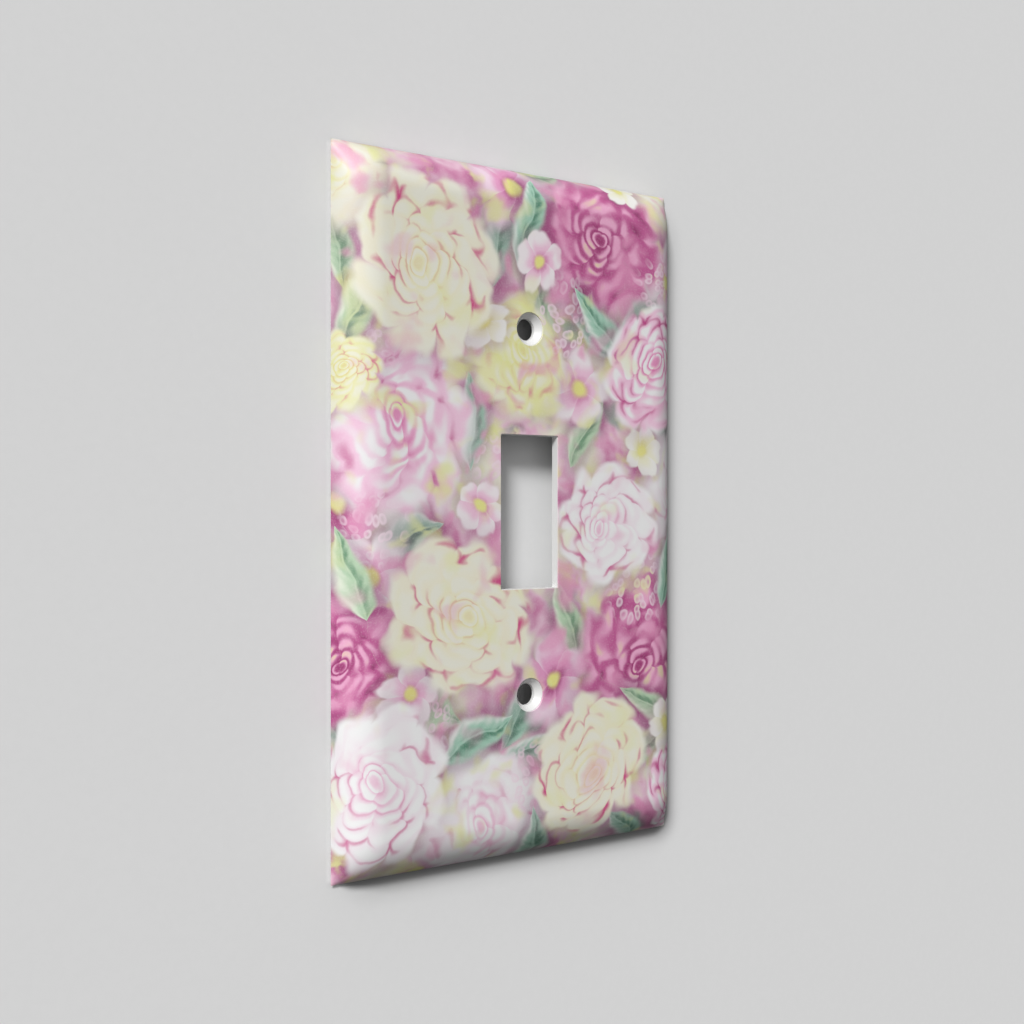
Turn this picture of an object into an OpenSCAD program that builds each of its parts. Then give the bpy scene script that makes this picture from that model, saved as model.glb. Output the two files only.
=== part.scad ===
// Single-gang toggle wall plate: a thin moulded shell whose edges roll back to the wall,
// with a printed film bonded over its face and its rolled edges.
// X runs across the plate and Z up it. The wall is the plane Y = 0 and the print faces -Y.

/* [Plate] */
// Width of the plate at the wall
plate_w = 69.85; // [66:0.05:90]
// Height of the plate at the wall
plate_h = 114.3; // [110:0.1:140]
// Depth from the wall to the printed face
plate_d = 4.9; // [4.4:0.1:6]
// Wall of the moulding
wall_t = 1.3; // [1:0.1:1.8]

/* [Rolled edge] */
// Width of the rolled edge, seen from the front
roll_w = 7; // [6:0.1:9]
// Radius at the crown of the dome that blends two rolled edges at a corner
dome_flat_r = 8; // [4:0.5:12]
// Height of that crown over the face
dome_rise = 0.2; // [0.1:0.05:0.4]
// How far outside the plate's corner the dome meets the wall
dome_reach = 0.3; // [0.2:0.1:1]

/* [Toggle slot] */
// Width of the slot
slot_w = 11.8; // [10.4:0.1:14]
// Height of the slot
slot_h = 25.2; // [23.9:0.1:28]
// Corner radius of the slot
slot_corner_r = 0.2; // [0.2:0.1:2]

/* [Screw holes] */
// Distance between the screw holes
screw_pitch = 60.325; // [55:0.005:64]
// Clearance hole for one screw
hole_d = 3.6; // [3:0.1:4.2]
// Mouth of the countersink
sink_d = 5.3; // [5:0.1:7]
// Full angle of the countersink
sink_angle = 82; // [80:1:100]
// Straight land of the hole behind its countersink
land_t = 0.5; // [0.4:0.1:1]
// Diameter of the boss behind each hole
boss_d = 9; // [8:0.5:12]
// Least height of the boss behind the web
boss_least_h = 0.3; // [0.2:0.1:0.6]

/* [Back ribs] */
// Thickness of a rib
rib_t = 1; // [0.8:0.1:1.5]
// Height of a rib behind the web
rib_h = 1; // [0.6:0.1:1.2]
// Clear strip between the slot and the rib frame round it
frame_gap = 4; // [3.5:0.5:5]

/* [Printed film] */
// Thickness of the film
film_t = 0.2; // [0.15:0.05:0.4]
// Bare strip round the slot and the countersinks
trim_gap = 0.15; // [0.05:0.05:0.5]

/* [Hidden] */
$fn = 96;

// Arc of the rolled edge: level with the face, and roll_w wide where it meets the wall
roll_r = (roll_w ^ 2 + plate_d ^ 2) / (2 * plate_d);
// Arc of a corner's dome: from its crown, a little over the face, to just past the plate's corner
dome_crown = plate_d + dome_rise;
dome_run = (roll_w + dome_flat_r) * sqrt(2) - dome_flat_r + dome_reach;
dome_r = (dome_run ^ 2 + dome_crown ^ 2) / (2 * dome_crown);

// Heights above the wall, before the plate is stood up
core_face = plate_d - film_t;
web_back = core_face - wall_t;
sink_depth = (sink_d - hole_d) / 2 / tan(sink_angle / 2);
boss_h = max(boss_least_h, sink_depth + land_t - wall_t);

frame_w = slot_w + 2 * frame_gap;
frame_h = slot_h + 2 * frame_gap;

// How far a cut runs past the faces that it opens
overrun = 1;

// From the drawing plane, with the print up, to the wall
module stand_up() {
  rotate([90, 0, 0]) children();
}

module at_screws() {
  for (side = [-1, 1])
    translate([0, side * screw_pitch / 2, 0]) children();
}

module rounded_rect(w, h, r) {
  square([w - 2 * r, h], center = true);
  square([w, h - 2 * r], center = true);
  for (x = [-1, 1], y = [-1, 1])
    translate([x * (w / 2 - r), y * (h / 2 - r)]) circle(r = r);
}

// Section across the plate, with both rolled edges, moved in by inset and cut off at foot
module rolled_section(span, inset, foot) {
  flat = span / 2 - roll_w;
  tall = plate_d - inset - foot;
  intersection() {
    union() {
      translate([-flat, foot]) square([2 * flat, tall]);
      for (side = [-1, 1])
        translate([side * flat, plate_d - roll_r]) circle(r = roll_r - inset);
    }
    translate([-span, foot]) square([2 * span, tall]);
  }
}

module corner_dome(inset, foot) {
  tall = dome_crown - inset - foot;
  rotate_extrude()
    intersection() {
      union() {
        translate([0, foot]) square([dome_flat_r, tall]);
        translate([dome_flat_r, dome_crown - dome_r]) circle(r = dome_r - inset);
      }
      translate([0, foot]) square([dome_flat_r + dome_r, tall]);
    }
}

// Everything but the four corners, and the domes that round those off
module corner_blend(inset, foot) {
  core_w = plate_w - 2 * (roll_w + dome_flat_r);
  core_h = plate_h - 2 * (roll_w + dome_flat_r);
  tall = dome_crown - foot + overrun;
  translate([-core_w / 2, -plate_h, foot]) cube([core_w, 2 * plate_h, tall]);
  translate([-plate_w, -core_h / 2, foot]) cube([2 * plate_w, core_h, tall]);
  for (x = [-1, 1], y = [-1, 1])
    translate([x * core_w / 2, y * core_h / 2, 0]) corner_dome(inset, foot);
}

// The plate's outer form, moved in by inset and cut off at foot
module plate_form(inset, foot) {
  intersection() {
    rotate([90, 0, 0])
      linear_extrude(2 * plate_h, center = true) rolled_section(plate_w, inset, foot);
    rotate([90, 0, 90])
      linear_extrude(2 * plate_w, center = true) rolled_section(plate_h, inset, foot);
    corner_blend(inset, foot);
  }
}

// A cut through the web with the slot's outline, wider by gap on every side
module slot_cut(gap) {
  translate([0, 0, -overrun])
    linear_extrude(plate_d + 2 * overrun)
      rounded_rect(slot_w + 2 * gap, slot_h + 2 * gap, slot_corner_r + gap);
}

module screw_hole() {
  translate([0, 0, -overrun]) cylinder(d = hole_d, h = plate_d + 2 * overrun);
  translate([0, 0, core_face - sink_depth])
    cylinder(d1 = hole_d, d2 = sink_d, h = sink_depth);
}

// A frame round the slot, and ribs from it to the screw bosses and the side walls
module back_ribs() {
  difference() {
    union() {
      square([frame_w + 2 * rib_t, frame_h + 2 * rib_t], center = true);
      square([rib_t, plate_h], center = true);
      for (y = [-screw_pitch / 2, 0, screw_pitch / 2])
        translate([0, y]) square([plate_w, rib_t], center = true);
    }
    square([frame_w, frame_h], center = true);
    for (side = [-1, 1])
      translate([0, side * screw_pitch / 2]) circle(d = boss_d);
  }
}

module moulded_plate() {
  color("whitesmoke") stand_up()
    difference() {
      union() {
        difference() {
          plate_form(film_t, 0);
          plate_form(film_t + wall_t, -overrun);
        }
        intersection() {
          plate_form(film_t + wall_t / 2, 0);
          union() {
            translate([0, 0, web_back - rib_h]) linear_extrude(rib_h + wall_t / 2) back_ribs();
            at_screws() translate([0, 0, web_back - boss_h]) cylinder(d = boss_d, h = boss_h + wall_t / 2);
          }
        }
      }
      slot_cut(0);
      at_screws() screw_hole();
    }
}

module printed_film() {
  color("palevioletred") stand_up()
    difference() {
      plate_form(0, 0);
      plate_form(film_t, -overrun);
      slot_cut(trim_gap);
      at_screws() cylinder(d = sink_d + 2 * trim_gap, h = plate_d + overrun);
    }
}

moulded_plate();
printed_film();
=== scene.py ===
import math

import bpy
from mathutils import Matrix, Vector


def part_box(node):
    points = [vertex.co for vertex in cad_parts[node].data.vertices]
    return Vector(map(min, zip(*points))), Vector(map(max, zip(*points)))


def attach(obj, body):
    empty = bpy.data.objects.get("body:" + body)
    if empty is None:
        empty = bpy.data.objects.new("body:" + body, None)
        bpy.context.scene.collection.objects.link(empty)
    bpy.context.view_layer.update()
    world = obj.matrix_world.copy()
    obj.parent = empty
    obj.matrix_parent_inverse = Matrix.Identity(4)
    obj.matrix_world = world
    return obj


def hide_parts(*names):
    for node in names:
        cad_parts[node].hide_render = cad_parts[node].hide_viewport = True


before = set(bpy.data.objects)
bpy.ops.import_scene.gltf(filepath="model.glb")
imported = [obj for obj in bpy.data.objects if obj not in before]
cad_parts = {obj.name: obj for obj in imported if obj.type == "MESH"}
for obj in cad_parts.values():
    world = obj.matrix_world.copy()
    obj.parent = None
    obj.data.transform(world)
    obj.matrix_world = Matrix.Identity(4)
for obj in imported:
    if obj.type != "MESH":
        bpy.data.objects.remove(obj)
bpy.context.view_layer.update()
filmLow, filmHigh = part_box("printed_film")
halfWidth = filmHigh.x
halfHeight = filmHigh.z
depth = -filmLow.y


# camera and stage

stage = {
    "eye": (-0.1475, -0.1920, 0.0),
    "lens": 50.8,
    "sensor": 36,
    "nearest": 0.01,           # where the camera's view starts
    "wallSize": 1.6,
    "wallGap": 0.0005,         # behind the plate's rim
    "wallTone": 0.76,
    "wallGrain": (900, 0.03),  # scale, and how far it changes the tone
    "wallRough": 0.85,
    "wallGloss": 0.1,
    "wallBounce": 0.15,        # what the wall round the plate gives back to it
    "paintedShades": (                # the rim's shade painted on the wall: shift, inset, corner, fade, strength
        (0.0012, 0.0038, 0.003, 0.0017, 0.55),      # painted shadow close under the rim
        (0.00295, 0.00555, 0.003, 0.0055, 0.17),    # and its painted soft tail
    ),
    "paintedLight": (0.0008, 0.14),  # painted light on the wall beside the lit edge: width, gain
    "ambient": 0.352,
    "lean": (-0.56, 0.0, 0.8),  # more ambient light from the upper left
    "seen": 0.645,             # the world's tone where the camera sees it
    "keySun": ((-1.22, -1.0, 1.16), 3.03, 14),      # where it comes from, strength, angle
    "backSun": ((0.6, 1.0, 0.8), 1.7, 40),
}


def addSun(name, comesFrom, strength, angle):
    bpy.ops.object.light_add(type="SUN", location=comesFrom)
    sun = bpy.context.object
    sun.name = name
    sun.rotation_euler = Vector(comesFrom).to_track_quat("Z", "Y").to_euler()
    sun.data.energy = strength
    sun.data.angle = math.radians(angle)


def setStage():
    scene = bpy.context.scene
    scene.view_settings.view_transform = "Standard"
    bpy.ops.object.select_all(action="DESELECT")
    eye = Vector(stage["eye"])
    bpy.ops.object.camera_add(location=eye, rotation=(-eye).to_track_quat("-Z", "Y").to_euler())
    camera = bpy.context.object
    camera.data.lens = stage["lens"]
    camera.data.sensor_width = stage["sensor"]
    camera.data.clip_start = stage["nearest"]
    scene.camera = camera
    for name in ("keySun", "backSun"):
        addSun(name, *stage[name])
    bpy.ops.mesh.primitive_plane_add(
        size=stage["wallSize"], location=(0, stage["wallGap"], 0), rotation=(math.pi / 2, 0, 0))
    wall = bpy.context.object
    wall.name = "wall"
    bpy.ops.object.transform_apply(location=True, rotation=True, scale=True)
    print("stage: camera, two suns and the wall")
    return wall


# shader maths

class Flow:
    def __init__(self, tree, socket=None):
        self.tree = tree
        self.socket = socket

    def add(self, kind, settings, sockets, output=0):
        node = self.tree.nodes.new("ShaderNode" + kind)
        for name, value in settings.items():
            if name == "stops":
                ramp = node.color_ramp
                while len(ramp.elements) < len(value):
                    ramp.elements.new(0.5)
                for element, (place, colour) in zip(ramp.elements, value):
                    element.position = place
                    element.color = (*colour, 1)
            elif name == "interpolation":
                node.color_ramp.interpolation = value
            else:
                setattr(node, name, value)
        for name, value in sockets.items():
            if isinstance(value, Flow):
                self.tree.links.new(value.socket, node.inputs[name])
            else:
                node.inputs[name].default_value = value
        return Flow(self.tree, node.outputs[output] if node.outputs else None)

    def out(self, name):
        return Flow(self.tree, self.socket.node.outputs[name])

    def maths(self, operation, *values):
        return self.add("Math", {"operation": operation}, dict(enumerate(values)))

    def __add__(self, other):
        return self.maths("ADD", self, other)

    def __radd__(self, other):
        return self.maths("ADD", other, self)

    def __sub__(self, other):
        return self.maths("SUBTRACT", self, other)

    def __rsub__(self, other):
        return self.maths("SUBTRACT", other, self)

    def __mul__(self, other):
        return self.maths("MULTIPLY", self, other)

    def __rmul__(self, other):
        return self.maths("MULTIPLY", other, self)

    def __truediv__(self, other):
        return self.maths("DIVIDE", self, other)

    def __pow__(self, other):
        return self.maths("POWER", self, other)

    def __abs__(self):
        return self.maths("ABSOLUTE", self)

    def __lt__(self, other):
        return self.maths("LESS_THAN", self, other)

    def __gt__(self, other):
        return self.maths("GREATER_THAN", self, other)

    def least(self, other):
        return self.maths("MINIMUM", self, other)

    def most(self, other):
        return self.maths("MAXIMUM", self, other)

    def part(self):
        return self.maths("FRACT", self)

    def ease(self, low, high):          # 0 at low, 1 at high, soft between
        return self.add("MapRange", {"interpolation_type": "SMOOTHSTEP"},
                        {"Value": self, "From Min": low, "From Max": high})

    def blend(self, other, share):      # from this value to another
        return self.add("Mix", {"data_type": "FLOAT"}, {0: share, 2: self, 3: other})

    def tint(self, other, share):       # from this colour to another
        return self.add("Mix", {"data_type": "RGBA"}, {0: share, 6: self, 7: other}, 2)

    def shift(self, operation, other):  # vector maths
        return self.add("VectorMath", {"operation": operation}, {0: self, 1: other})

    def length(self):
        return self.add("VectorMath", {"operation": "LENGTH"}, {0: self}, "Value")

    def noise(self, scale, detail=2.0, rough=0.5, output="Fac"):
        return self.add("TexNoise", {}, {"Vector": self, "Scale": scale, "Detail": detail,
                                         "Roughness": rough}, output)


def newMaterial(name):
    material = bpy.data.materials.new(name)
    material.use_nodes = True
    tree = material.node_tree
    tree.nodes.clear()
    return material, Flow(tree)


def finishMaterial(start, shader):
    start.add("OutputMaterial", {}, {"Surface": shader})


def finishSurface(start, settings, colour, grain):     # a finish whose grain roughens and lifts it
    least, more = settings["rough"]
    strength, distance = settings["bump"]
    rough = least + grain * more
    bump = start.add("Bump", {}, {"Strength": strength, "Distance": distance, "Height": grain})
    finishMaterial(start, start.add("BsdfPrincipled", {}, {
        "Base Color": colour, "Roughness": rough, "Specular IOR Level": settings["gloss"],
        "Normal": bump}))


# the wall and the light round it

def paintWall(wall):
    material, start = newMaterial("wallPaint")
    place = start.add("TexCoord", {}, {}, "Object")
    scale, spread = stage["wallGrain"]
    grain = place.noise(scale, 3)
    looked = start.add("LightPath", {}, {}, "Is Camera Ray")
    spot = start.add("SeparateXYZ", {}, {0: place})
    covered = (abs(spot) < halfWidth) * (abs(spot.out("Z")) < halfHeight)
    given = looked.most(covered)
    # the wall's tone: paint grain, then painted shade under the rim and painted light beside the left edge
    grainPaintedShadeAndLight = 1 - spread / 2 + grain * spread
    # painted shadow: the wall's paint is darkened under the rim at the right and below, with a soft tail
    for shift, inset, corner, fade, strength in stage["paintedShades"]:
        right = (abs(spot - shift) - (halfWidth - inset)).most(0)
        below = (abs(spot.out("Z") + shift) - (halfHeight - inset)).most(0)
        away = start.add("CombineXYZ", {}, {0: right, 1: below}).length() - corner
        grainPaintedShadeAndLight = grainPaintedShadeAndLight * (1 - away.ease(fade, 0.0) * (1 - covered) * strength)
    # painted light: the wall's paint is lightened beside the left edge
    width, gain = stage["paintedLight"]
    left = (-halfWidth - spot).most(0)
    past = (abs(spot.out("Z")) - (halfHeight - width)).most(0)
    beside = start.add("CombineXYZ", {}, {0: left, 1: past}).length().ease(width, 0.0)
    grainPaintedShadeAndLight = grainPaintedShadeAndLight * (1 + beside * (spot < width - halfWidth) * gain)
    tone = grainPaintedShadeAndLight * (stage["wallBounce"] + given * (stage["wallTone"] - stage["wallBounce"]))
    colour = start.add("CombineColor", {}, {0: tone, 1: tone, 2: tone})
    paint = start.add("BsdfPrincipled", {}, {
        "Base Color": colour, "Roughness": stage["wallRough"], "Specular IOR Level": stage["wallGloss"]})
    clear = start.add("BsdfTransparent", {}, {})
    behind = start.add("NewGeometry", {}, {}, "Backfacing")
    passed = start.add("LightPath", {}, {}, "Transparent Depth") > 0.5
    finishMaterial(start, start.add("MixShader", {}, {0: behind.most(passed), 1: paint, 2: clear}))
    wall.data.materials.append(material)
    print("wall: painted")


def lightRoom():
    world = bpy.data.worlds.new("studio")
    world.use_nodes = True
    bpy.context.scene.world = world
    tree = world.node_tree
    tree.nodes.clear()
    start = Flow(tree)
    seen = start.add("LightPath", {}, {}, "Is Camera Ray")
    side = start.add("TexCoord", {}, {}, "Generated")
    lean = start.add("VectorMath", {"operation": "DOT_PRODUCT"}, {0: side, 1: stage["lean"]}, "Value")
    level = (stage["ambient"] * (1 + lean).most(0)).blend(stage["seen"], seen)
    glow = start.add("Background", {}, {"Color": (1, 1, 1, 1), "Strength": level})
    start.add("OutputWorld", {}, {"Surface": glow})
    print("room: even light, stronger from the upper left")


# crowned sheets: a grid whose lines are moved to the roll and lowered there

crown = {
    "rollWidth": 0.007,
    "rollSteps": 14,
    "flatSteps": (8, 13),      # across, up
    "close": 1e-4,             # a grid line's points lie within this
}
rollRadius = (crown["rollWidth"] ** 2 + depth ** 2) / (2 * depth)


def pickVertices(obj, wanted):
    bpy.ops.object.mode_set(mode="EDIT")
    bpy.ops.mesh.select_mode(type="VERT")
    bpy.ops.mesh.select_all(action="DESELECT")
    bpy.ops.object.mode_set(mode="OBJECT")
    for index in wanted:
        obj.data.vertices[index].select = True
    bpy.ops.object.mode_set(mode="EDIT")


def rollLines(half, inset, flatSteps):
    radius = rollRadius - inset
    low = rollRadius - depth                     # the arc's centre lies this far behind the wall
    flat = half - crown["rollWidth"]
    tall = depth - inset
    last = math.acos(low / radius)
    lines = [(flat * step / flatSteps, 1.0) for step in range(flatSteps + 1)]
    for step in range(1, crown["rollSteps"] + 1):
        angle = last * step / crown["rollSteps"]
        down = (radius * math.cos(angle) - low) / tall
        lines.append((flat + radius * math.sin(angle), max(down, 0.0)))
    return lines


def crownedSheet(name, inset):
    across = rollLines(halfWidth, inset, crown["flatSteps"][0])
    up = rollLines(halfHeight, inset, crown["flatSteps"][1])
    bpy.ops.object.select_all(action="DESELECT")
    bpy.ops.mesh.primitive_grid_add(
        x_subdivisions=2 * (len(across) - 1), y_subdivisions=2 * (len(up) - 1), size=2,
        rotation=(math.pi / 2, 0, 0))
    sheet = bpy.context.object
    sheet.name = name
    bpy.ops.object.transform_apply(location=True, rotation=True, scale=True)
    lines = []
    for axis, wanted in ((0, across), (2, up)):
        for step in range(1, len(wanted)):
            place = step / (len(wanted) - 1)
            members = [v.index for v in sheet.data.vertices
                       if abs(abs(v.co[axis]) - place) < crown["close"]]
            lines.append((axis, place, wanted[step], members))
    bpy.ops.object.mode_set(mode="EDIT")
    bpy.ops.mesh.select_all(action="SELECT")
    bpy.ops.transform.translate(value=(0, inset - depth, 0))
    for axis, place, (target, down), members in lines:
        pickVertices(sheet, members)
        size = [1.0, down, 1.0]
        size[axis] = target / place
        bpy.ops.transform.resize(value=size, center_override=(0, 0, 0))
    bpy.ops.object.mode_set(mode="OBJECT")
    useModifier(sheet, "SUBSURF", levels=1, render_levels=1, boundary_smooth="PRESERVE_CORNERS")
    return sheet


def useModifier(obj, kind, **settings):
    bpy.context.view_layer.objects.active = obj
    bpy.ops.object.modifier_add(type=kind)
    modifier = obj.modifiers[-1]
    for name, value in settings.items():
        setattr(modifier, name, value)
    bpy.ops.object.modifier_apply(modifier=modifier.name)


def crownedShell(name, outer, inner):
    back = crownedSheet(name + "Back", inner)
    bpy.ops.object.mode_set(mode="EDIT")
    bpy.ops.mesh.select_all(action="SELECT")
    bpy.ops.mesh.flip_normals()
    bpy.ops.object.mode_set(mode="OBJECT")
    front = crownedSheet(name, outer)
    back.select_set(True)
    bpy.context.view_layer.objects.active = front
    bpy.ops.object.join()
    bpy.ops.object.mode_set(mode="EDIT")
    bpy.ops.mesh.select_mode(type="EDGE")
    bpy.ops.mesh.select_all(action="DESELECT")
    bpy.ops.mesh.select_non_manifold()
    bpy.ops.mesh.bridge_edge_loops()             # the flat rim at the wall
    bpy.ops.mesh.select_all(action="SELECT")
    bpy.ops.mesh.normals_make_consistent(inside=False)
    bpy.ops.object.mode_set(mode="OBJECT")
    face = min(front.data.polygons, key=lambda polygon: polygon.center.y)
    if face.normal.y > 0:                        # the print has to face out
        bpy.ops.object.mode_set(mode="EDIT")
        bpy.ops.mesh.flip_normals()
        bpy.ops.object.mode_set(mode="OBJECT")
    return front


tools = {
    "sides": 72,               # of a round tool
    "cornerSteps": 4,
    "softSteps": 2,
    "upright": 0.9,            # a corner's edge spans more than this share of the depth
    "flush": 1e-6,             # points this close lie on one face
    "merge": 1e-6,             # joins the slivers that the cuts leave
    "smoothAngle": 30,
}


def combine(obj, tool, operation):
    useModifier(obj, "BOOLEAN", operation=operation, solver="MANIFOLD", object=tool)
    bpy.data.objects.remove(tool)


def pickEdges(obj, test):
    bpy.ops.object.mode_set(mode="EDIT")
    bpy.ops.mesh.select_mode(type="EDGE")
    bpy.ops.mesh.select_all(action="DESELECT")
    bpy.ops.object.mode_set(mode="OBJECT")
    points = obj.data.vertices
    for edge in obj.data.edges:
        edge.select = test(points[edge.vertices[0]].co, points[edge.vertices[1]].co)
    bpy.ops.object.mode_set(mode="EDIT")


def softenBack(tool, back, soft):    # round the edges of a tool's rear face
    if soft:
        pickEdges(tool, lambda a, b: min(a.y, b.y) > back - tools["flush"])
        bpy.ops.mesh.bevel(offset=soft, segments=tools["softSteps"], affect="EDGES")
        bpy.ops.object.mode_set(mode="OBJECT")


def blockTool(width, height, place, front, back, corner=0.0, soft=0.0):
    bpy.ops.object.select_all(action="DESELECT")
    bpy.ops.mesh.primitive_cube_add(size=1, location=(0, 0, 0))
    tool = bpy.context.object
    bpy.ops.object.mode_set(mode="EDIT")
    bpy.ops.mesh.select_all(action="SELECT")
    bpy.ops.transform.resize(value=(width, back - front, height), center_override=(0, 0, 0))
    bpy.ops.transform.translate(value=(place[0], (front + back) / 2, place[1]))
    bpy.ops.object.mode_set(mode="OBJECT")
    if corner:
        pickEdges(tool, lambda a, b: abs(a.y - b.y) > tools["upright"] * (back - front))
        bpy.ops.mesh.bevel(offset=corner, segments=tools["cornerSteps"], affect="EDGES")
        bpy.ops.object.mode_set(mode="OBJECT")
    softenBack(tool, back, soft)
    return tool


def roundTool(place, diameter, front, back, soft=0.0):
    bpy.ops.object.select_all(action="DESELECT")
    bpy.ops.mesh.primitive_cylinder_add(
        vertices=tools["sides"], radius=diameter / 2, depth=back - front,
        location=(place[0], (front + back) / 2, place[1]), rotation=(math.pi / 2, 0, 0))
    tool = bpy.context.object
    bpy.ops.object.transform_apply(location=True, rotation=True, scale=True)
    softenBack(tool, back, soft)
    return tool


def finishMesh(obj, name, node, material):
    obj.name = name
    obj.data.name = name
    bpy.ops.object.select_all(action="DESELECT")
    obj.select_set(True)
    bpy.context.view_layer.objects.active = obj
    bpy.ops.object.mode_set(mode="EDIT")
    bpy.ops.mesh.select_all(action="SELECT")
    bpy.ops.mesh.remove_doubles(threshold=tools["merge"])
    bpy.ops.object.mode_set(mode="OBJECT")
    bpy.ops.object.shade_smooth_by_angle(angle=math.radians(tools["smoothAngle"]))
    obj.data.materials.clear()
    obj.data.materials.append(material)
    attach(obj, "root")
    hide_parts(node)
    print(name + ":", len(obj.data.polygons), "faces")


# the printed film

film = {
    "thick": 0.0002,
    "slot": (0.0121, 0.0255, 0.00035),
    "holes": 0.0056,
    "pitch": 0.060325,
}


def makeFilm(material):
    sheet = crownedShell("film_sheet", 0.0, film["thick"])
    width, height, corner = film["slot"]
    combine(sheet, blockTool(width, height, (0, 0), -2 * depth, depth, corner), "DIFFERENCE")
    for side in (-1, 1):
        place = (0, side * film["pitch"] / 2)
        combine(sheet, roundTool(place, film["holes"], -2 * depth, depth), "DIFFERENCE")
    finishMesh(sheet, "film_sheet", "printed_film", material)


# the white moulding

moulding = {
    "front": 0.00021,
    "back": 0.0015,
    "slot": (0.0118, 0.0252, 0.0002),
    "hole": 0.0036,
    "sink": 0.0053,
    "sinkAngle": 82,
    "boss": 0.009,
    "bossTall": 0.0003,
    "rib": 0.001,
    "ribTall": 0.001,
    "ribSoft": 0.0002,
    "ribRoot": 0.0006,         # ribs and bosses start this far inside the web
    "ribReach": 0.0035,        # and ribs run this far into the rolled edges
    "ribOverlap": 0.0002,
    "bossClear": 0.00004,      # the ribs end this far inside a boss
    "bossSkim": 0.00002,       # and the cut that ends them stays this far off the web
    "frameGap": 0.004,
    "pinMarks": [
        (side * 0.021, height) for side in (-1, 1) for height in (-0.043, -0.015, 0.015, 0.043)],
    "pinSize": (0.004, 0.00006),   # across, deep
}


def sinkTool(height):
    rise = (moulding["sink"] - moulding["hole"]) / 2 / math.tan(math.radians(moulding["sinkAngle"] / 2))
    mouth = moulding["front"] - depth
    tool = roundTool((0, height), moulding["hole"], mouth + rise, depth)
    pickVertices(tool, [v.index for v in tool.data.vertices if v.co.y < mouth + rise + tools["flush"]])
    bpy.ops.mesh.select_mode(type="FACE")
    bpy.ops.mesh.extrude_region_move(TRANSFORM_OT_translate={"value": (0, -rise, 0)})
    wide = moulding["sink"] / moulding["hole"]
    bpy.ops.transform.resize(value=(wide, 1, wide), center_override=(0, mouth, height))
    bpy.ops.mesh.extrude_region_move(TRANSFORM_OT_translate={"value": (0, -depth, 0)})
    bpy.ops.object.mode_set(mode="OBJECT")
    return tool


def makeMoulding(material):
    shell = crownedShell("plate_moulding", moulding["front"], moulding["back"])
    web = moulding["back"] - depth
    root = web - moulding["ribRoot"]
    rib, ribBack = moulding["rib"], web + moulding["ribTall"]
    slotWidth, slotHeight, corner = moulding["slot"]
    frameWide = slotWidth + 2 * moulding["frameGap"] + rib
    frameTall = slotHeight + 2 * moulding["frameGap"] + rib
    intoRoll = moulding["ribReach"] - crown["rollWidth"]
    reach, climb = halfWidth + intoRoll, halfHeight + intoRoll
    bars = [(rib, frameTall + rib, (side * frameWide / 2, 0)) for side in (-1, 1)]
    bars += [(frameWide + rib, rib, (0, side * frameTall / 2)) for side in (-1, 1)]
    inner = (frameWide + rib) / 2 - moulding["ribOverlap"]
    foot = (frameTall + rib) / 2 - moulding["ribOverlap"]
    for side in (-1, 1):
        bars.append((reach - inner, rib, (side * (reach + inner) / 2, 0)))
        bars.append((rib, climb - foot, (0, side * (climb + foot) / 2)))
        bars.append((2 * reach, rib, (0, side * film["pitch"] / 2)))
    soft = moulding["ribSoft"]
    for width, height, place in bars:
        combine(shell, blockTool(width, height, place, root, ribBack, soft=soft), "UNION")
    clear = moulding["boss"] - moulding["bossClear"]
    bossBack = web + moulding["bossTall"]
    for side in (-1, 1):
        place = (0, side * film["pitch"] / 2)
        combine(shell, roundTool(place, clear, web + moulding["bossSkim"], depth), "DIFFERENCE")
        combine(shell, roundTool(place, moulding["boss"], root, bossBack, soft), "UNION")
    pinWide, pinDeep = moulding["pinSize"]
    for place in moulding["pinMarks"]:
        combine(shell, roundTool(place, pinWide, web - pinDeep, depth), "DIFFERENCE")
    combine(shell, blockTool(slotWidth, slotHeight, (0, 0), -2 * depth, depth, corner), "DIFFERENCE")
    for side in (-1, 1):
        combine(shell, sinkTool(side * film["pitch"] / 2), "DIFFERENCE")
    finishMesh(shell, "plate_moulding", "moulded_plate", material)


# the print: soft flowers laid in layers on the sheet, wrapped over the rolled edges

millimetres = 1000             # in a metre

press = {                      # how the page is printed
    "light": 0.85,             # the stage's light on the face
    "brightest": 0.9,
    "bends": ((0.085, 6.0), (0.6, 0.4)),    # slow and quick bends of the page: scale, reach in mm
    "centre": (3.2, 3.2, 0),   # brings the bent page back
    "wobble": (0.14, 1, 0.8, 0.0),      # turns the petals: scale, detail, strength, least
    "ragged": (0.2, 1, 0.28, 0.86),     # moves the outlines
    "wash": (0.22, 2, 0.56, -0.2),      # lightens the motifs
    "creases": ((11, -37, 0), (0.16, 1), (0.38, 0.6)),   # where creases deepen: shift, noise, limits
    "accent": (0.54, 0.4),     # and by how much: strength, least
    "rows": (("back", 0.18, 0.6), ("front", 0.08, 0.36)),   # soft outline, strength of the glaze
    "grain": 3.2,
    "fleck": ((0.45, 0.75), 0.12),      # limits, strength
    "rough": (0.40, 0.12),     # least, and what the grain adds
    "gloss": 0.4,
    "bump": (0.05, 0.00005),   # strength, distance
}


def ink(red, green, blue):     # a colour as seen under the stage's light
    def linear(value):
        value /= 255
        return value / 12.92 if value < 0.04045 else ((value + 0.055) / 1.055) ** 2.4
    return tuple(min(linear(value) / press["light"], press["brightest"]) for value in (red, green, blue))


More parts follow.
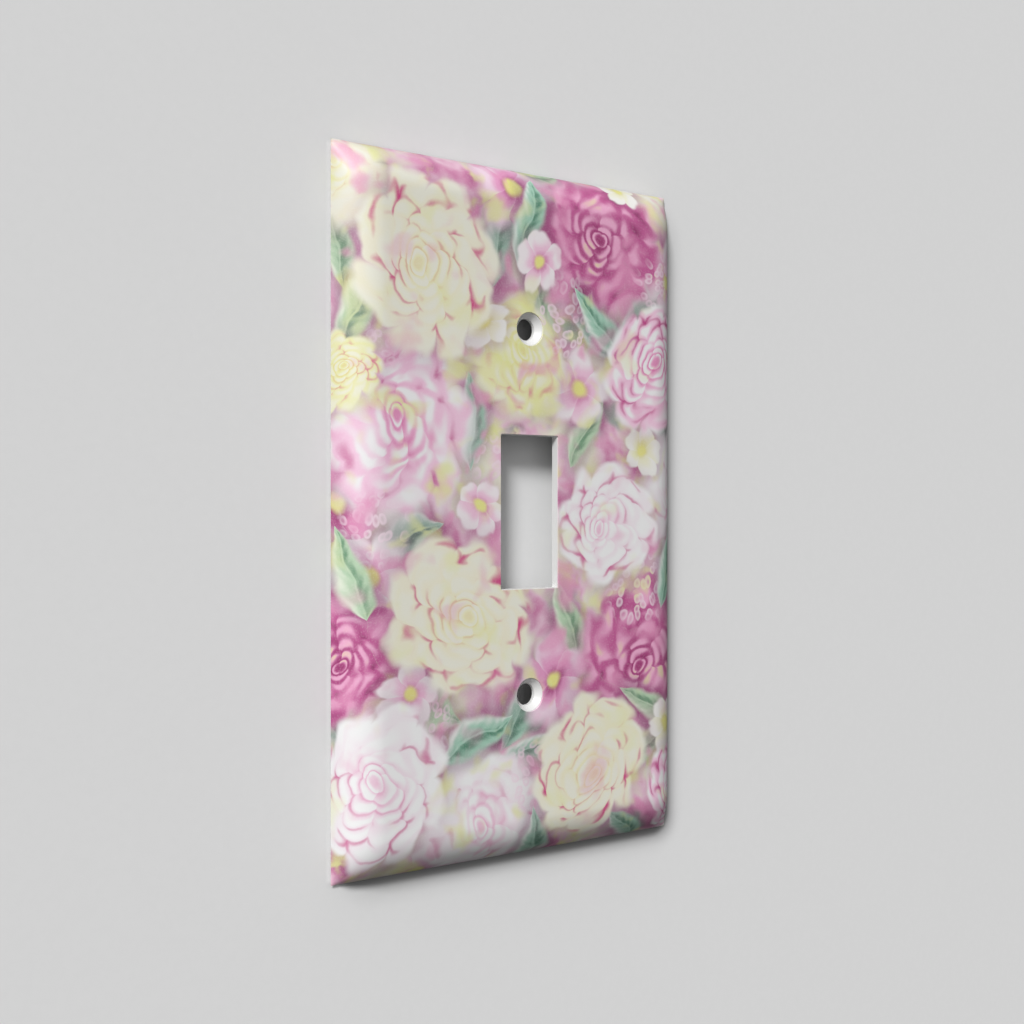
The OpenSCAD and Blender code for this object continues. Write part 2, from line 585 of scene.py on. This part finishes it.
ground = {
    "wash": [
        (0.28, ink(150, 72, 116)), (0.39, ink(190, 124, 158)), (0.48, ink(212, 178, 194)),
        (0.57, ink(209, 206, 188)), (0.69, ink(213, 212, 206)),
    ],
    "washNoise": (0.085, 3, 0.55),  # scale, detail, roughness
    "lime": ink(204, 206, 138),
    "limePatch": ((40, 17, 0), (0.11, 3, 0.6), (0.54, 0.68), 0.85),   # shift, noise, limits, strength
    "sage": ink(120, 150, 134),
    "sagePatch": ((-23, 51, 0), (0.10, 2, 0.5), (0.57, 0.70), 0.8),
    "blush": ink(204, 136, 170),
    "fleck": ink(222, 216, 214),
}

glaze = {                      # thin colour over each row of motifs
    "shift": (5, 71, 0),
    "noise": (0.13, 2, 0.55),
    "lime": (0.53, 0.7),       # limits
    "blush": (0.45, 0.3),
    "pale": (0.22, 0.5),       # the lime stays off tones darker than this
}

bloom = {                      # many-petalled flowers: x, z, radius in mm, turn, kind, squash
    "back": [
        (15, 46, 14.5, 20, 1, 0.86), (-25, 13, 15.0, 80, 0, 0.88), (25, -25, 15.0, 200, 1, 0.9),
        (-9, -50, 13.5, 140, 3, 0.9), (-3, 26, 11.5, 300, 4, 0.85), (35, 4, 10.5, 30, 3, 1.0),
        (-36, -22, 11.5, 250, 1, 0.9), (-37, 53, 10.0, 10, 2, 1.0),
    ],
    "front": [
        (-20, 39, 15.0, 100, 2, 0.88), (28, 25, 12.0, 40, 0, 0.94), (-14, -17, 15.0, 330, 2, 0.86),
        (17, -2, 11.5, 160, 3, 0.88), (-29, -43, 13.0, 60, 3, 0.9), (13, -43, 13.5, 220, 2, 0.84),
        (35, -50, 9.5, 120, 0, 0.9), (-35, 22, 7.5, 0, 4, 0.9),
    ],
    "rings": [                 # radius, petals, phase, shift of the centre
        (1.00, 8, 0.10, 0.00, 0.00), (0.83, 7, 0.62, 0.02, 0.01), (0.66, 7, 0.25, 0.03, 0.03),
        (0.50, 6, 0.80, 0.04, 0.05), (0.36, 5, 0.35, 0.05, 0.06), (0.23, 3, 0.70, 0.05, 0.07),
        (0.12, 2, 0.20, 0.06, 0.10),
    ],
    "swirl": 0.8,              # petals lean round as they go out
    "bow": (2.4, 0.17),        # sharpness and depth of the gaps between them
    "shade": (1.34, 0.98),     # a ring's shadow on the ring below
    "fold": (0.55, 0.95, 0.42),     # where a petal is lit, to where it turns, strength
    "eye": (0.13, 0.03),       # folds fade out in the middle
    "cup": (0.36, 0.95, 0.52),      # a petal lightens to its rim: limits, strength
    "glow": ((0.62, 0.1), (1.0, 0.2), 0.75),    # the heart's ink: limits by reach, by tone, strength
    "halo": (ink(126, 66, 102), 0.34),          # shadow on what lies below: ink, strength
    "inks": [                  # crease, body, rim, heart
        (ink(168, 50, 116), ink(215, 178, 198), ink(214, 213, 214), ink(202, 124, 166)),
        (ink(112, 30, 78), ink(174, 84, 134), ink(212, 154, 184), ink(138, 46, 98)),
        (ink(182, 52, 114), ink(210, 206, 187), ink(209, 208, 195), ink(208, 205, 160)),
        (ink(182, 92, 134), ink(213, 206, 210), ink(214, 214, 214), ink(212, 172, 192)),
        (ink(192, 104, 128), ink(208, 206, 160), ink(210, 209, 188), ink(205, 204, 138)),
    ],
}

blossom = {                    # open five-petal flowers: x, z, radius in mm, turn, kind
    "back": [
        (-3, 53, 8.0, 10, 0), (31, 42, 7.5, 50, 1), (-36, 2, 7.5, 30, 2), (10, 21, 7.0, 70, 1),
        (35, -12, 7.0, 15, 0), (-31, -9, 7.5, 44, 1), (5, -28, 7.5, 20, 0), (-20, -59, 7.0, 5, 1),
    ],
    "front": [
        (-9, 31, 5.0, 25, 3), (-24, -29, 5.2, 0, 1), (31, -38, 5.0, 33, 3), (2, 41, 4.6, 12, 1),
        (22, 58, 5.0, 20, 3), (-10, 1, 4.8, 52, 1), (25, 11, 4.6, 60, 3),
    ],
    "inks": [
        (ink(152, 62, 114), ink(204, 140, 176), ink(216, 192, 206)),
        (ink(184, 104, 148), ink(212, 174, 194), ink(214, 207, 210)),
        (ink(132, 48, 96), ink(178, 90, 138), ink(206, 150, 180)),
        (ink(196, 188, 126), ink(210, 208, 186), ink(213, 212, 208)),
    ],
    "heart": ink(207, 202, 124),
    "petals": 5,
    "bow": (2.2, 0.28),
    "notch": (0.35, 0.06),     # width and depth of the notch in a petal's tip
    "cup": (0.1, 0.95, 0.5),
    "fold": (0.4, 0.4),
    "eye": (0.30, 0.12),
    "halo": (ink(126, 66, 102), 0.34),
}

leaf = {                       # x, z, half length in mm, turn, kind
    "back": [
        (-6, 45, 8.0, 70, 0), (2, 36, 7.0, 115, 1), (27, 36, 7.5, 30, 0), (-36, 40, 7.0, 100, 1),
        (14, 31, 7.0, 150, 0), (-12, 15, 8.0, 95, 0), (12, 14, 7.0, 60, 1), (31, 13, 6.5, 110, 0),
        (-25, -4, 7.5, 20, 0), (-2, -32, 8.0, 60, 0), (8, -19, 8.0, 110, 1), (35, -17, 7.0, 80, 0),
        (-20, -31, 7.0, 150, 1), (26, -41, 7.0, 30, 1), (0, -39, 7.0, 15, 0), (-37, -33, 6.5, 120, 0),
        (4, 58, 6.5, 20, 1), (22, -56, 6.5, 140, 0),
    ],
    "front": [
        (0, 48, 8.0, 75, 0), (15, 33, 7.5, 140, 0), (-33, 31, 7.0, 60, 1), (33, -9, 8.0, 70, 0),
        (-34, -9, 7.5, 110, 1), (-11, -36, 8.0, 25, 0), (27, -34, 7.5, 150, 1), (2, -56, 7.5, 100, 0),
    ],
    "inks": [
        (ink(78, 122, 102), ink(144, 180, 162), ink(202, 211, 204)),
        (ink(100, 136, 108), ink(162, 186, 158), ink(204, 211, 194)),
    ],
    "squash": 0.5,
    "width": (0.38, 0.1),      # half width, and how far it narrows to the tip
    "edge": (1.15, 0.65),
    "rib": (0.04, 0.005, 0.2),      # limits, strength
    "veins": (22, 30, 0.05),   # along, aslant, strength
    "body": (0.1, 0.9, 0.4),
    "lit": (0.1, 0.3),         # one half is lighter
    "halo": (ink(92, 64, 86), 0.4),
}

spray = {                      # x, z, radius in mm: small pale buds
    "spots": [
        (-28, 30, 8.0), (8, 33, 8.0), (30, 40, 8.0), (-4, 6, 8.0),
        (24, -13, 8.0), (-22, -34, 8.0), (2, -44, 8.0), (-30, -2, 7.0),
    ],
    "ink": ink(216, 196, 206),
    "scale": 0.5,
    "bud": (0.44, 0.3),        # limits of a bud
    "dimple": (0.05, 0.28, 0.35),   # limits of its middle, and how much ink stays there
    "fade": (1.0, 0.6),
    "share": 0.75,
}
motifReach = 1.4, 0.8          # where a motif's halo starts and is full
inkSteps = (0.0, 0.42), (0.4, 0.9)      # tones from crease to body, and from body to rim


def wrapped(value, half):      # distance in mm along the sheet, over its roll
    radius = rollRadius * millimetres
    flat = (half - crown["rollWidth"]) * millimetres
    size = abs(value)
    over = ((size - flat) / radius).most(0).least(0.999)
    return value.maths("SIGN", value) * (size.least(flat) + over.maths("ARCSINE", over) * radius)


def gather(page, spots, squash=1.0):   # coordinates and kind of the nearest motif
    far = 9.0
    local, sort, best = (far, far, far), 0.0, far
    for x, z, size, turn, kind, *own in spots:
        flat = own[0] if own else squash
        near = page.add("Mapping", {"vector_type": "TEXTURE"}, {
            "Vector": page, "Location": (x, z, 0), "Rotation": (0, 0, math.radians(turn)),
            "Scale": (size, size * flat, 1)})
        reach = near.length()
        inside = reach < best
        local = page.add("Mix", {"data_type": "VECTOR"}, {0: inside, 4: local, 5: near}, 1)
        sort = page.add("Mix", {"data_type": "FLOAT"}, {0: inside, 2: sort, 3: float(kind)})
        best = reach.least(best)
    return local, sort, best


def inkOf(sort, colours, which):
    stops = [((index + 0.001) / len(colours), each[which]) for index, each in enumerate(colours)]
    return sort.add("ValToRGB", {"stops": stops, "interpolation": "CONSTANT"},
                    {0: (sort + 0.5) / len(colours)}, "Color")


def inked(tone, sort, colours):
    toBody, toRim = inkSteps
    deep = inkOf(sort, colours, 0).tint(inkOf(sort, colours, 1), tone.ease(*toBody))
    return deep.tint(inkOf(sort, colours, 2), tone.ease(*toRim))


def polar(place):              # angle and distance
    axes = place.add("SeparateXYZ", {}, {0: place})
    return axes.maths("ARCTAN2", axes.out("Y"), axes), place.length()


def bloomTone(local, paper, soft):
    tone, mask = None, None
    sharp, gap = bloom["bow"]
    lit, turns, foldShare = bloom["fold"]
    hollow, rim, cupShare = bloom["cup"]
    for radius, petals, phase, leanX, leanY in bloom["rings"]:
        angle, reach = polar(local.shift("SUBTRACT", (leanX, leanY, 0)))
        along = (angle * (petals / math.tau) + reach * bloom["swirl"] + (paper["wobble"] + phase)).part()
        bow = abs(along * 2 - 1)
        edge = (bow ** sharp) * (-gap * radius) + radius
        across = reach / (edge * paper["ragged"])
        cover = across.ease(1.0 + soft, 1.0 - soft)
        shade = across.ease(*bloom["shade"]) * paper["accent"]
        fold = (along.ease(0.0, lit) * along.ease(1.0, turns)).blend(0.5, reach.ease(*bloom["eye"]))
        here = across.ease(hollow, rim) * cupShare + fold * foldShare + paper["wash"]
        if mask is None:
            mask, tone = cover, here
        else:
            tone = (tone * (1 - shade)).blend(here, cover)
    return tone, mask


def blossomTone(local, reach, paper, soft):
    sharp, gap = blossom["bow"]
    notchWide, notchDeep = blossom["notch"]
    hollow, rim, cupShare = blossom["cup"]
    lit, foldShare = blossom["fold"]
    angle, _ = polar(local)
    along = (angle * (blossom["petals"] / math.tau) + paper["wobble"]).part()
    bow = abs(along * 2 - 1)
    notch = bow.ease(notchWide, 0.0) * notchDeep
    across = reach / ((1 - (bow ** sharp) * gap - notch) * paper["ragged"])
    mask = across.ease(1.0 + soft, 1.0 - soft)
    tone = across.ease(hollow, rim) * (cupShare + along.ease(0.0, lit) * foldShare) + paper["wash"]
    heart = reach.ease(*blossom["eye"])
    return tone, mask, heart


def leafTone(local, paper):
    halfWide, taper = leaf["width"]
    ribEdge, ribMiddle, ribShare = leaf["rib"]
    along, aslant, veinShare = leaf["veins"]
    middle, rim, bodyShare = leaf["body"]
    litWide, litShare = leaf["lit"]
    length = local.add("SeparateXYZ", {}, {0: local})
    side = length.out("Y") * leaf["squash"]
    width = (1 - length * length).most(0) * (halfWide - length * taper) * paper["ragged"]
    inside = abs(side) / width.most(0.001)
    mask = inside.ease(*leaf["edge"])
    rib = abs(side).ease(ribEdge, ribMiddle)
    vein = length * along - abs(side) * aslant
    ripple = vein.maths("SINE", vein)
    tone = inside.ease(middle, rim) * bodyShare + side.ease(-litWide, litWide) * litShare
    tone = tone + ripple * veinShare + rib * ribShare + paper["wash"]
    return tone, mask


def layer(colour, reach, sort, tone, mask, motif):
    shadow, shade = motif["halo"]
    colour = colour.tint((*shadow, 1), reach.ease(*motifReach) * shade)
    return colour.tint(inked(tone, sort, motif["inks"]), mask)


def addSprays(colour, page):
    _, _, reach = gather(page, [(*spot, 0, 0) for spot in spray["spots"]])
    cells = page.add("TexVoronoi", {"voronoi_dimensions": "2D"}, {"Vector": page, "Scale": spray["scale"]})
    low, high, least = spray["dimple"]
    bud = cells.ease(*spray["bud"]) * (least + cells.ease(low, high) * (1 - least))
    return colour.tint((*spray["ink"], 1), bud * reach.ease(*spray["fade"]) * spray["share"])


def addGlaze(colour, page, strength):
    patch = page.shift("ADD", glaze["shift"]).noise(*glaze["noise"])
    pale = colour.add("SeparateColor", {}, {0: colour}, "Green").ease(*glaze["pale"])
    colour = colour.tint((*ground["lime"], 1), patch.ease(*glaze["lime"]) * pale * strength)
    return colour.tint((*ground["blush"], 1), patch.ease(*glaze["blush"]) * strength)


def bentPage(start):           # the sheet laid flat in mm, and bent so that no two motifs are alike
    place = start.add("TexCoord", {}, {}, "Object")
    spot = start.add("SeparateXYZ", {}, {0: place})
    across = wrapped(spot * millimetres, halfWidth)
    up = wrapped(spot.out("Z") * millimetres, halfHeight)
    page = start.add("CombineXYZ", {}, {0: across, 1: up})
    bends = [(page.noise(scale, 2, 0.5, "Color"), reach) for scale, reach in press["bends"]]
    for bend, reach in bends:
        page = start.add("VectorMath", {"operation": "MULTIPLY_ADD"},
                         {0: bend, 1: (reach, reach, 0), 2: page})
    return page.shift("SUBTRACT", press["centre"])


def makePaper(page):           # what varies over the page
    paper = {}
    for name in ("wobble", "ragged", "wash"):
        scale, detail, strength, least = press[name]
        paper[name] = page.noise(scale, detail) * strength + least
    shift, noise, limits = press["creases"]
    strength, least = press["accent"]
    paper["accent"] = page.shift("ADD", shift).noise(*noise).ease(*limits) * strength + least
    return paper


def makePrint():
    material, start = newMaterial("flowerPrint")
    page = bentPage(start)
    paper = makePaper(page)

    # ground
    wash = page.noise(*ground["washNoise"])
    colour = wash.add("ValToRGB", {"stops": ground["wash"]}, {0: wash}, "Color")
    for name in ("lime", "sage"):
        shift, noise, limits, strength = ground[name + "Patch"]
        patch = page.shift("ADD", shift).noise(*noise)
        colour = colour.tint((*ground[name], 1), patch.ease(*limits) * strength)

    # leaves, blossoms and blooms, back to front, with sprays of buds between
    byReach, byTone, glowShare = bloom["glow"]
    for row, soft, thin in press["rows"]:
        local, sort, reach = gather(page, leaf[row], leaf["squash"])
        tone, mask = leafTone(local, paper)
        colour = layer(colour, reach, sort, tone, mask, leaf)
        local, sort, reach = gather(page, blossom[row])
        tone, mask, heart = blossomTone(local, reach, paper, soft)
        colour = layer(colour, reach, sort, tone, mask, blossom)
        colour = colour.tint((*blossom["heart"], 1), heart * mask)
        local, sort, reach = gather(page, bloom[row])
        tone, mask = bloomTone(local, paper, soft)
        colour = layer(colour, reach, sort, tone, mask, bloom)
        glow = reach.ease(*byReach) * tone.ease(*byTone) * mask
        colour = colour.tint(inkOf(sort, bloom["inks"], 3), glow * glowShare)
        if row == "back":
            colour = addSprays(colour, page)
        colour = addGlaze(colour, page, thin)

    grain = page.noise(press["grain"], 3)
    limits, fleckShare = press["fleck"]
    colour = colour.tint((*ground["fleck"], 1), grain.ease(*limits) * fleckShare)
    finishSurface(start, press, colour, grain)
    print("print:", len(material.node_tree.nodes), "nodes")
    return material


# white plastic of the moulding

plastic = {
    "tone": 0.67,
    "warmth": (1.0, 0.998, 0.985),
    "cloud": (60, 0.05),       # scale, and how much lighter
    "pores": (4200, 0.02),
    "rough": (0.36, 0.12),     # least, and what the pores add
    "gloss": 0.45,
    "bump": (0.08, 0.00004),   # strength, distance
}


def makePlastic():
    material, start = newMaterial("whitePlastic")
    place = start.add("TexCoord", {}, {}, "Object")
    cloudScale, cloudShare = plastic["cloud"]
    poreScale, poreShare = plastic["pores"]
    cloud = place.noise(cloudScale, 2)
    pores = place.noise(poreScale, 3)
    tone = plastic["tone"] + cloud * cloudShare + pores * poreShare
    tones = {index: tone * warm for index, warm in enumerate(plastic["warmth"])}
    finishSurface(start, plastic, start.add("CombineColor", {}, tones), pores)
    print("plastic:", len(material.node_tree.nodes), "nodes")
    return material


wall = setStage()
paintWall(wall)
lightRoom()
makeFilm(makePrint())
makeMoulding(makePlastic())
